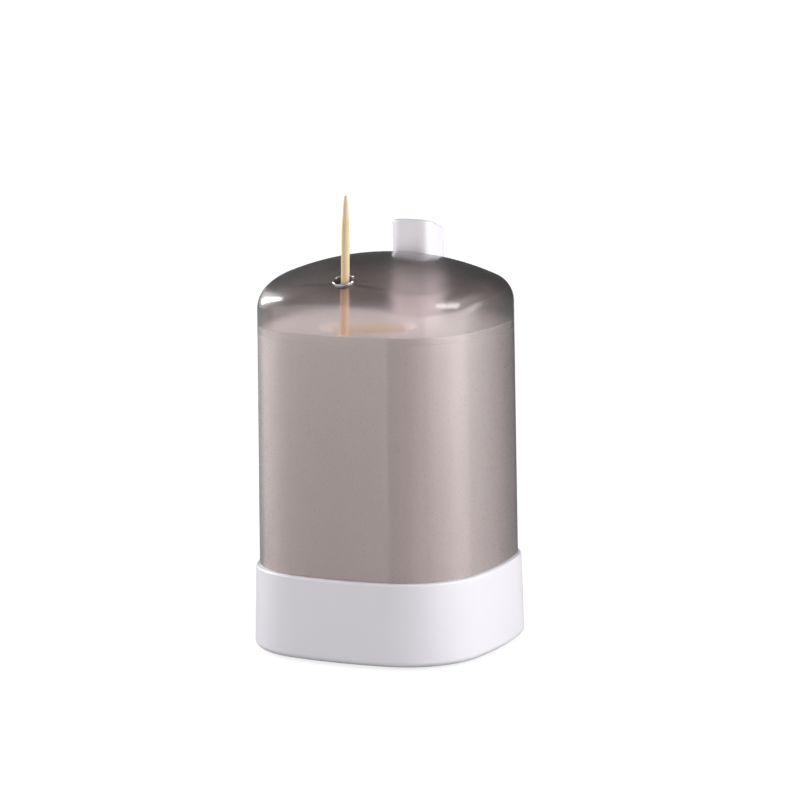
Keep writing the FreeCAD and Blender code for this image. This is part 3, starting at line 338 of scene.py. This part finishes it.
def cover_shell(material):
    """The cover: an outer and an inner skin joined at the foot, with holes for the button and the ring."""
    angles = footprint_angles()
    bm = bmesh.new()
    outer_columns = []
    for angle in angles:
        flat, _normal = footprint(COVER_HALF - COVER_BEVEL, angle)
        outer_columns.append([Vector((flat.x, flat.y, SEAM))] + cover_column(angle, 0))
    top = DOME_CENTRE + Vector((0, 0, DOME_RADIUS))
    outer = add_skin(bm, outer_columns, top, inward=False)
    inner_columns = [cover_column(angle, COVER_WALL) for angle in angles]
    inner = add_skin(bm, inner_columns, top - Vector((0, 0, COVER_WALL)), inward=True)
    for step in range(len(angles)):
        following = (step + 1) % len(angles)
        bm.faces.new([outer[following][0], outer[step][0], inner[step][0], inner[following][0]])
    shell = mesh_object("cover_shell", bm)
    hole = button_hole_tool(top.z - 2 * SHOULDER - 2 * COVER_WALL, top.z + SHOULDER)
    cut_out(shell, [hole, outlet_drill(4 * COVER_WALL)])
    shade(shell, COVER_SHARP, material)
    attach(shell, "cover")
    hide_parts("cover")


def outlet_lip(lip_metal, sleeve_painted_shade):
    """The ring round the outlet: a thin polished lip, and a sleeve that narrows below it, coloured near
    black as painted shade inside the outlet.
    """
    lip = RING_LIP / 2
    middle = RING_RADIUS - lip
    profile = [(RING_RADIUS, -RING_SEAT_DEPTH)]
    for step in range(LIP_STEPS + 1):
        turn = math.pi * step / LIP_STEPS
        profile.append((middle + lip * math.cos(turn), RING_HEIGHT - lip + lip * math.sin(turn)))
    metal_rows = len(profile) - 1
    profile += [(RING_RADIUS - RING_LIP, 0), (RING_BORE, -SLEEVE_THROAT), (RING_BORE, -SLEEVE_DEPTH),
                (SLEEVE_RADIUS, -SLEEVE_DEPTH), (SLEEVE_RADIUS, -RING_SEAT_DEPTH)]
    bm = bmesh.new()
    rings = [flat_ring(bm, radius, z, RING_STEPS) for radius, z in profile]
    for row, low in enumerate(rings):
        for face in join_rings(bm, low, rings[(row + 1) % len(rings)]):
            face.material_index = 0 if row < metal_rows else 1
    bm.transform(outlet_frame())
    made = mesh_object("outlet_lip", bm)
    shade(made, RING_SHARP, lip_metal, sleeve_painted_shade)
    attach(made, "cover")
    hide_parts("outlet_ring")


def pick_radius_at(along):
    """A slender point at each end that swells into the shaft, with its very tip rounded."""
    from_end = min(along, PICK_LENGTH - along)
    share = min(1.0, from_end / PICK_POINT)
    radius = PICK_TIP + (PICK_RADIUS - PICK_TIP) * (1 - (1 - share) ** POINT_SWELL)
    past = 1 - min(1.0, from_end / PICK_TIP)
    return radius * max(PICK_TIP_FLAT, math.sqrt(1 - past ** 2))


def add_pick(bm, place, seed, steps):
    """One cut toothpick, a little out of round, along the Z axis of its place."""
    shaft = PICK_LENGTH - 2 * PICK_POINT
    heights = POINT_STATIONS + [PICK_POINT + shaft * step / SHAFT_STEPS for step in range(1, SHAFT_STEPS)]
    heights += [PICK_LENGTH - station for station in reversed(POINT_STATIONS)]
    rings = []
    for along in heights:
        ring = []
        for angle in turns(steps):
            way = Vector((math.cos(angle), math.sin(angle), 0))
            wobble = noise.noise(2 * way + Vector((0, 0, along / WOBBLE_LENGTH + seed)))
            radius = pick_radius_at(along) * (PICK_FULLNESS + PICK_WOBBLE * wobble)
            ring.append(bm.verts.new(place @ (radius * way + Vector((0, 0, along)))))
        rings.append(ring)
    for low, high in zip(rings, rings[1:]):
        join_rings(bm, low, high)
    bm.faces.new(rings[0][::-1])
    bm.faces.new(rings[-1])


def raised_pick(material):
    """The toothpick that stands in the outlet."""
    low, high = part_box("toothpick")
    bm = bmesh.new()
    foot = Vector(((low.x + high.x) / 2 - PICK_LENGTH / 2 * math.sin(PICK_LEAN), OUTLET_Y, low.z))
    place = Matrix.Translation(foot) @ Matrix.Rotation(PICK_LEAN, 4, "Y")
    add_pick(bm, place, 0.0, PICK_STEPS)
    made = mesh_object("raised_toothpick", bm)
    shade(made, PICK_SHARP, material)
    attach(made, "toothpick")
    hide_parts("toothpick")


def picks_in_well(material):
    """The picks stand in rows, each a little lower and slightly askew."""
    rng = random.Random(STOCK_SEED)
    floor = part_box("toothpick_stock")[0].z
    row_step = STOCK_PITCH * math.sqrt(3) / 2
    room = WELL_RADIUS - PICK_RADIUS - STOCK_GAP
    rows = int(room / row_step) + 1
    bm = bmesh.new()
    for row in range(-rows, rows + 1):
        shift = STOCK_PITCH / 2 if row % 2 else 0
        for column in range(-rows - 1, rows + 2):
            x = column * STOCK_PITCH + shift
            y = row * row_step
            if math.hypot(x, y) > room:
                continue
            askew = Matrix.Rotation(rng.uniform(-STOCK_ASKEW, STOCK_ASKEW), 4, "X")
            askew = askew @ Matrix.Rotation(rng.uniform(-STOCK_ASKEW, STOCK_ASKEW), 4, "Y")
            place = Matrix.Translation((x, WELL_Y + y, floor)) @ askew
            drop = rng.uniform(0, STOCK_DROP)
            place = place @ Matrix.Scale(1 - drop / PICK_LENGTH, 4)
            add_pick(bm, place, rng.uniform(1, 90), STOCK_STEPS)
    made = mesh_object("toothpicks_in_well", bm)
    shade(made, PICK_SHARP, material)
    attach(made, "base")
    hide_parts("toothpick_stock")


def coil_spring(material):
    """The button's return spring, closed at both ends."""
    low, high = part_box("return_spring")
    steps = SPRING_TURNS * SPRING_TURN_STEPS
    pitches = []
    for step in range(steps):
        from_end = min(step, steps - 1 - step) / SPRING_TURN_STEPS
        opened = min(1.0, max(0.0, 2 * from_end - 1))
        pitches.append(SPRING_CLOSED_PITCH + (1 - SPRING_CLOSED_PITCH) * opened)
    climb = (high.z - low.z - 2 * SPRING_WIRE) / sum(pitches)
    bm = bmesh.new()
    rings = []
    for step in range(steps + 1):
        angle = 2 * math.pi * step / SPRING_TURN_STEPS
        outward = Vector((math.cos(angle), math.sin(angle), 0))
        height = low.z + SPRING_WIRE + climb * sum(pitches[:step])
        centre = Vector((0, BUTTON_Y, height)) + SPRING_RADIUS * outward
        rise = climb * SPRING_TURN_STEPS * pitches[min(step, steps - 1)]
        along = Vector((-outward.y, outward.x, rise / (2 * math.pi * SPRING_RADIUS))).normalized()
        across = outward.cross(along)
        ring = []
        for turn in turns(SPRING_WIRE_STEPS):
            way = math.cos(turn) * outward + math.sin(turn) * across
            ring.append(bm.verts.new(centre + SPRING_WIRE * way))
        rings.append(ring)
    for near, far in zip(rings, rings[1:]):
        join_rings(bm, near, far)
    bm.faces.new(rings[0])
    bm.faces.new(rings[-1])
    bmesh.ops.recalc_face_normals(bm, faces=bm.faces)
    made = mesh_object("coil_spring", bm)
    shade(made, SPRING_SHARP, material)
    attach(made, "base")
    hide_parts("return_spring")
    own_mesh(made)


# Frosting of the cover: full up to one height, down to the dome's share above another
FROST = "frost"
FROST_FULL = 78.2 * MM
FROST_THIN = 82.6 * MM
DOME_FROST = 0.15
OUTSIDE_FROST = 0.6

# Smoky plastic: roughness where it is clear and where it is frosted, its colour and what light it lets
# pass, both from facing to edge on
COVER_IOR = 1.49
COVER_GRAIN = 0.3 * MM
COVER_RELIEF = 0.0002 * MM
CLEAR_ROUGHNESS = 0.177, 0.183
FROSTED_ROUGHNESS = 0.337, 0.343
COVER_TINT = [(0.0, (0.73, 0.648, 0.64)), (0.4, (0.665, 0.595, 0.588)), (0.6, (0.425, 0.38, 0.38)),
              (0.7, (0.22, 0.198, 0.20)), (0.8, (0.11, 0.10, 0.102)), (1.0, (0.04, 0.037, 0.038))]
COVER_PASSING = [(0.0, (0.99, 0.97, 0.97)), (0.4, (0.97, 0.95, 0.95)), (0.6, (0.80, 0.77, 0.77)),
                 (0.8, (0.40, 0.38, 0.38)), (1.0, (0.0, 0.0, 0.0))]

# Moulded plastic and metal
CLOUD_SIZE = 14 * MM
CLOUD_DEEP, CLOUD_PALE = 0.985, 1.012
MOULD_GRAIN = 0.5 * MM
MOULD_RELIEF = 0.0006 * MM
STROKE_SIZE = 0.25 * MM
STROKE_RELIEF = 0.003 * MM

# Bamboo
FIBRE_SIZE = 0.22 * MM
FIBRE_RELIEF = 0.03 * MM
FIBRE_DARK, FIBRE_LIGHT = (0.78, 0.57, 0.32), (0.90, 0.70, 0.45)
PATCH_SIZE = 3 * MM
PATCH_COLOUR = 0.86, 0.72, 0.50
PATCH_SHARE = 0.35
PICK_SHADES = 0.88, 1.08


# Materials

def add_node(tree, kind, inputs=None, **settings):
    made = tree.nodes.new(kind)
    for key, value in settings.items():
        setattr(made, key, value)
    for key, value in (inputs or {}).items():
        if isinstance(value, bpy.types.NodeSocket):
            tree.links.new(value, made.inputs[key])
        else:
            made.inputs[key].default_value = value
    return made


def new_material(name, sockets):
    made = bpy.data.materials.new(name)
    made.use_nodes = True
    tree = made.node_tree
    shader = tree.nodes["Principled BSDF"]
    for key, value in sockets.items():
        shader.inputs[key].default_value = value
    return made, tree, shader


def spots(tree, size, stretch=(1, 1, 1), detail=3.0):
    """Noise over the piece's own coordinates, in spots of about this size."""
    coordinates = add_node(tree, "ShaderNodeTexCoord")
    mapping = add_node(tree, "ShaderNodeMapping",
                       {"Vector": coordinates.outputs["Object"], "Scale": stretch})
    made = add_node(tree, "ShaderNodeTexNoise",
                    {"Vector": mapping.outputs["Vector"], "Scale": 1 / size, "Detail": detail})
    return made.outputs["Fac"]


def between(tree, noise_value, low, high):
    """Spreads noise, which stays mostly between 0.3 and 0.7, over a range."""
    made = add_node(tree, "ShaderNodeMapRange", {"Value": noise_value, "From Min": 0.3, "From Max": 0.7,
                                                 "To Min": low, "To Max": high})
    return made.outputs["Result"]


def bump(tree, shader, height, strength, distance):
    made = add_node(tree, "ShaderNodeBump", {"Strength": strength, "Distance": distance, "Height": height})
    tree.links.new(made.outputs["Normal"], shader.inputs["Normal"])


def tinted(tree, value, low, high):
    made = add_node(tree, "ShaderNodeMix", {"Factor": value}, data_type="RGBA")
    made.inputs["A"].default_value = (*low, 1)
    made.inputs["B"].default_value = (*high, 1)
    return made.outputs["Result"]


def moulded(name, colour, roughness, grain=MOULD_GRAIN, relief=MOULD_RELIEF, extra=None):
    """Moulded plastic: faint clouds in the colour, and the mould's fine grain in gloss and relief."""
    made, tree, shader = new_material(name, extra or {})
    clouds = spots(tree, CLOUD_SIZE, detail=2.0)
    deep = tuple(channel * CLOUD_DEEP for channel in colour)
    pale = tuple(channel * CLOUD_PALE for channel in colour)
    tree.links.new(tinted(tree, clouds, deep, pale), shader.inputs["Base Color"])
    fine = spots(tree, grain)
    tree.links.new(between(tree, fine, roughness * 0.96, roughness * 1.04), shader.inputs["Roughness"])
    bump(tree, shader, fine, 0.5, relief)
    return made


def metal(name, colour, roughness, stretch):
    made, tree, shader = new_material(name, {"Metallic": 1.0, "Base Color": (*colour, 1)})
    strokes = spots(tree, STROKE_SIZE, stretch)
    tree.links.new(between(tree, strokes, roughness * 0.75, roughness * 1.3), shader.inputs["Roughness"])
    bump(tree, shader, strokes, 0.3, STROKE_RELIEF)
    return made


def bamboo():
    """Pale wood with fibres that run up the pick and a little colour of its own for each pick."""
    made, tree, shader = new_material("bamboo", {"Subsurface Weight": 0.08, "Specular IOR Level": 0.3})
    shader.inputs["Subsurface Radius"].default_value = (0.6 * MM, 0.35 * MM, 0.2 * MM)
    fibres = spots(tree, FIBRE_SIZE, (1, 1, 0.02), detail=6.0)
    patches = between(tree, spots(tree, PATCH_SIZE, (1, 1, 0.12)), 0.0, PATCH_SHARE)
    streaked = tinted(tree, between(tree, fibres, 0.0, 1.0), FIBRE_DARK, FIBRE_LIGHT)
    patched = add_node(tree, "ShaderNodeMix", {"Factor": patches}, data_type="RGBA")
    tree.links.new(streaked, patched.inputs["A"])
    patched.inputs["B"].default_value = (*PATCH_COLOUR, 1)
    geometry = add_node(tree, "ShaderNodeNewGeometry")
    own = add_node(tree, "ShaderNodeMapRange", {"Value": geometry.outputs["Random Per Island"],
                                                "To Min": PICK_SHADES[0], "To Max": PICK_SHADES[1]})
    toned = add_node(tree, "ShaderNodeHueSaturation", {"Value": own.outputs["Result"],
                                                       "Color": patched.outputs["Result"]})
    tree.links.new(toned.outputs["Color"], shader.inputs["Base Color"])
    tree.links.new(between(tree, fibres, 0.62, 0.45), shader.inputs["Roughness"])
    bump(tree, shader, fibres, 0.5, FIBRE_RELIEF)
    return made


def colour_ramp(tree, value, stops):
    """A smooth ramp through (position, colour) stops."""
    made = add_node(tree, "ShaderNodeValToRGB", {"Fac": value})
    ramp = made.color_ramp
    ramp.elements[0].position, ramp.elements[-1].position = stops[0][0], stops[-1][0]
    for position, _colour in stops[1:-1]:
        ramp.elements.new(position)
    for element, (_position, colour) in zip(ramp.elements, stops):
        element.color = (*colour, 1)
    return made.outputs["Color"]


def frosting(tree):
    """How matt the cover is: most on the inside of the wall, less outside, and little on the dome."""
    inward = add_node(tree, "ShaderNodeAttribute", attribute_name=FROST)
    side = add_node(tree, "ShaderNodeMapRange", {"Value": inward.outputs["Fac"], "To Min": OUTSIDE_FROST})
    coordinates = add_node(tree, "ShaderNodeTexCoord")
    place = add_node(tree, "ShaderNodeSeparateXYZ", {"Vector": coordinates.outputs["Object"]})
    thinning = add_node(tree, "ShaderNodeMapRange", {"Value": place.outputs["Z"],
                                                     "From Min": FROST_FULL, "From Max": FROST_THIN,
                                                     "To Min": 1.0, "To Max": DOME_FROST},
                        interpolation_type="SMOOTHSTEP")
    made = add_node(tree, "ShaderNodeMath", {0: side.outputs["Result"], 1: thinning.outputs["Result"]},
                    operation="MULTIPLY")
    return made.outputs["Value"]


def smoky_plastic():
    """Translucent smoky plastic, glossy on the dome, finely frosted on the wall and darker on edge. Lamps
    shine through it onto what it covers, less so where they graze it."""
    made, tree, shader = new_material("smoky_plastic", {"Transmission Weight": 1.0, "IOR": COVER_IOR})
    edge = add_node(tree, "ShaderNodeLayerWeight", {"Blend": 0.5}).outputs["Facing"]
    tree.links.new(colour_ramp(tree, edge, COVER_TINT), shader.inputs["Base Color"])
    fine = spots(tree, COVER_GRAIN)
    skin = add_node(tree, "ShaderNodeMix", {"Factor": frosting(tree),
                                            "A": between(tree, fine, *CLEAR_ROUGHNESS),
                                            "B": between(tree, fine, *FROSTED_ROUGHNESS)})
    tree.links.new(skin.outputs["Result"], shader.inputs["Roughness"])
    bump(tree, shader, fine, 0.3, COVER_RELIEF)
    light = add_node(tree, "ShaderNodeLightPath")
    clear = add_node(tree, "ShaderNodeBsdfTransparent", {"Color": colour_ramp(tree, edge, COVER_PASSING)})
    mixed = add_node(tree, "ShaderNodeMixShader", {0: light.outputs["Is Shadow Ray"],
                                                   1: shader.outputs["BSDF"], 2: clear.outputs["BSDF"]})
    tree.links.new(mixed.outputs["Shader"], tree.nodes["Material Output"].inputs["Surface"])
    return made


def backdrop_material():
    """A pale matt ground that keeps a soft shadow near the part. It is white where it is seen straight,
    and grey as in the photograph where gloss mirrors it or it shows through the cover."""
    made, tree, shader = new_material("backdrop", {})
    tree.nodes.remove(shader)
    geometry = add_node(tree, "ShaderNodeNewGeometry")
    distance = add_node(tree, "ShaderNodeVectorMath", {0: geometry.outputs["Position"]},
                        operation="LENGTH")
    white = add_node(tree, "ShaderNodeMapRange", {"Value": distance.outputs["Value"],
                                                  "From Min": SHADOW_START, "From Max": SHADOW_END,
                                                  "To Min": FLOOR_GLOW, "To Max": 1.0})
    light = add_node(tree, "ShaderNodeLightPath")
    straight = add_node(tree, "ShaderNodeMath", {0: light.outputs["Is Camera Ray"],
                                                 1: white.outputs["Result"]}, operation="MULTIPLY")
    indirect = add_node(tree, "ShaderNodeMath", {0: light.outputs["Is Glossy Ray"],
                                                 1: light.outputs["Is Transmission Ray"]},
                        operation="MAXIMUM")
    level = add_node(tree, "ShaderNodeMath", {0: indirect.outputs["Value"], 1: MIRRORED_GLOW,
                                              2: straight.outputs["Value"]}, operation="MULTIPLY_ADD")
    grey = (FLOOR_COLOUR, FLOOR_COLOUR, FLOOR_COLOUR, 1)
    matt = add_node(tree, "ShaderNodeBsdfDiffuse", {"Color": grey})
    glow = add_node(tree, "ShaderNodeEmission", {"Color": (1, 1, 1, 1),
                                                 "Strength": level.outputs["Value"]})
    both = add_node(tree, "ShaderNodeAddShader", {0: matt.outputs["BSDF"], 1: glow.outputs["Emission"]})
    tree.links.new(both.outputs["Shader"], tree.nodes["Material Output"].inputs["Surface"])
    return made


def dress_nodes():
    """Gives every CAD node that still shows the finish of its material slot. Returns the finishes."""
    finishes = {
        "white_gloss": moulded("white_gloss", (0.855, 0.835, 0.885), 0.3,
                               extra={"Coat Weight": 0.15, "Coat Roughness": 0.1}),
        "white_satin": moulded("white_satin", (0.835, 0.825, 0.826), 0.30),
        "inner_plastic": moulded("inner_plastic", (0.78, 0.78, 0.79), 0.5, relief=0.008 * MM),
        "rubber": moulded("rubber", (0.035, 0.035, 0.036), 0.8, grain=0.2 * MM, relief=0.02 * MM),
        "steel": metal("steel", (0.60, 0.60, 0.61), 0.32, (1, 1, 0.15)),
    }
    slots = {part["node"]: part["material_slot"] for part in frame["record"]["subparts"]}
    for name, piece in frame["nodes"].items():
        if slots[name] in finishes:
            piece.data.materials.clear()
            piece.data.materials.append(finishes[slots[name]])
    return finishes


# Studio
FLOOR_RADIUS = 3.0
FLOOR_STEPS = 96
BACKDROP_HEIGHT = 0.45
FLOOR_COLOUR = 0.32
FLOOR_GLOW = 0.78
MIRRORED_GLOW = 0.08
SHADOW_START = 0.2
SHADOW_END = 0.8
WORLD_LEVEL = 0.1
LAMP_DISTANCE = 0.6


def studio():
    """A round floor with a low wall behind it, and an even white world."""
    bm = bmesh.new()
    ring = flat_ring(bm, FLOOR_RADIUS, 0, FLOOR_STEPS)
    wall = flat_ring(bm, FLOOR_RADIUS, BACKDROP_HEIGHT, FLOOR_STEPS)
    bm.faces.new(ring)
    join_rings(bm, wall, ring)
    floor = mesh_object("studio_floor", bm)
    floor.data.shade_flat()
    floor.data.materials.append(backdrop_material())
    world = bpy.data.worlds.new("studio")
    bpy.context.scene.world = world
    world.use_nodes = True
    background = world.node_tree.nodes["Background"]
    background.inputs["Color"].default_value = (1, 1, 1, 1)
    background.inputs["Strength"].default_value = WORLD_LEVEL


def way_to(azimuth, elevation):
    """The direction from the part, at an azimuth from the front and a height above the ground."""
    return Vector((math.sin(azimuth) * math.cos(elevation), -math.cos(azimuth) * math.cos(elevation),
                   math.sin(elevation)))


def softbox(name, azimuth, elevation, width, height, level, tilt=0.0):
    """A rectangular lamp that looks at the part. Level is how bright a small one makes a white face
    turned to it. Tilt raises the end with the greater azimuth."""
    lamp = bpy.data.lights.new(name, "AREA")
    lamp.shape = "RECTANGLE"
    lamp.size = width
    lamp.size_y = height
    lamp.energy = level * math.pi ** 2 * LAMP_DISTANCE ** 2
    around, turn = math.radians(azimuth), math.radians(tilt)
    back = way_to(around, math.radians(elevation))
    side = Vector((math.cos(around), math.sin(around), 0))
    along = side * math.cos(turn) + back.cross(side) * math.sin(turn)
    turned = Matrix((along, back.cross(along), back)).transposed().to_4x4()
    middle = (CAD_BOX[0] + CAD_BOX[1]) / 2
    made = new_object(name, lamp)
    made.matrix_world = Matrix.Translation(middle + back * LAMP_DISTANCE) @ turned
    made.visible_camera = False
    made.visible_transmission = False


# Camera, from a perspective fit of the photograph
IMAGE_SIZE = 800
FOCAL_PIXELS = 3116.48
SENSOR_WIDTH = 36.0
CAMERA_TARGET = Vector((0, 0, 45.0 * MM))
CAMERA_DISTANCE = 777.02 * MM
CAMERA_AZIMUTH = math.radians(25.634)
CAMERA_ELEVATION = math.radians(10.209)
CAMERA_YAW = math.radians(-0.227)
CAMERA_PITCH = math.radians(1.141)
CAMERA_ROLL = math.radians(0.768)
CAMERA_NEAR = 0.01
CAMERA_FAR = 50


def camera():
    back = way_to(CAMERA_AZIMUTH, CAMERA_ELEVATION)
    forward = -back
    right = forward.cross(Vector((0, 0, 1))).normalized()
    up = right.cross(forward)
    yaw = Matrix.Rotation(CAMERA_YAW, 3, up)
    forward, right = yaw @ forward, yaw @ right
    pitch = Matrix.Rotation(CAMERA_PITCH, 3, right)
    forward, up = pitch @ forward, pitch @ up
    roll = Matrix.Rotation(CAMERA_ROLL, 3, forward)
    right, up = roll @ right, roll @ up
    lens = bpy.data.cameras.new("photo_view")
    lens.sensor_width = SENSOR_WIDTH
    lens.lens = FOCAL_PIXELS / IMAGE_SIZE * SENSOR_WIDTH
    lens.clip_start = CAMERA_NEAR
    lens.clip_end = CAMERA_FAR
    made = new_object("photo_view", lens)
    turned = Matrix((right, up, -forward)).transposed().to_4x4()
    made.matrix_world = Matrix.Translation(CAMERA_TARGET + back * CAMERA_DISTANCE) @ turned
    bpy.context.scene.camera = made


camera()
studio()
softbox("right_spot", 101, 33, 0.38, 0.15, 0.53, tilt=-35)
softbox("right_window", 97, 2, 1.2, 0.22, 1.0)
softbox("left_spot", -97, 22, 0.46, 0.085, 0.9, tilt=35)
softbox("front_window", -29, 3, 1.2, 0.40, 0.87)
softbox("right_front_window", 50, 3, 0.8, 0.40, 0.13)
finishes = dress_nodes()
coil_spring(finishes["steel"])
wood = bamboo()
cover_shell(smoky_plastic())
# The ring's sleeve is near black as painted shade for the inside of the outlet, not a dark part of its
# own.
outlet_lip(metal("ring_metal", (0.84, 0.82, 0.80), 0.16, (1, 1, 1)),
           moulded("ring_sleeve_painted_shade", (0.03, 0.028, 0.028), 0.5))
raised_pick(wood)
picks_in_well(wood)
bpy.context.scene.view_settings.view_transform = "Standard"
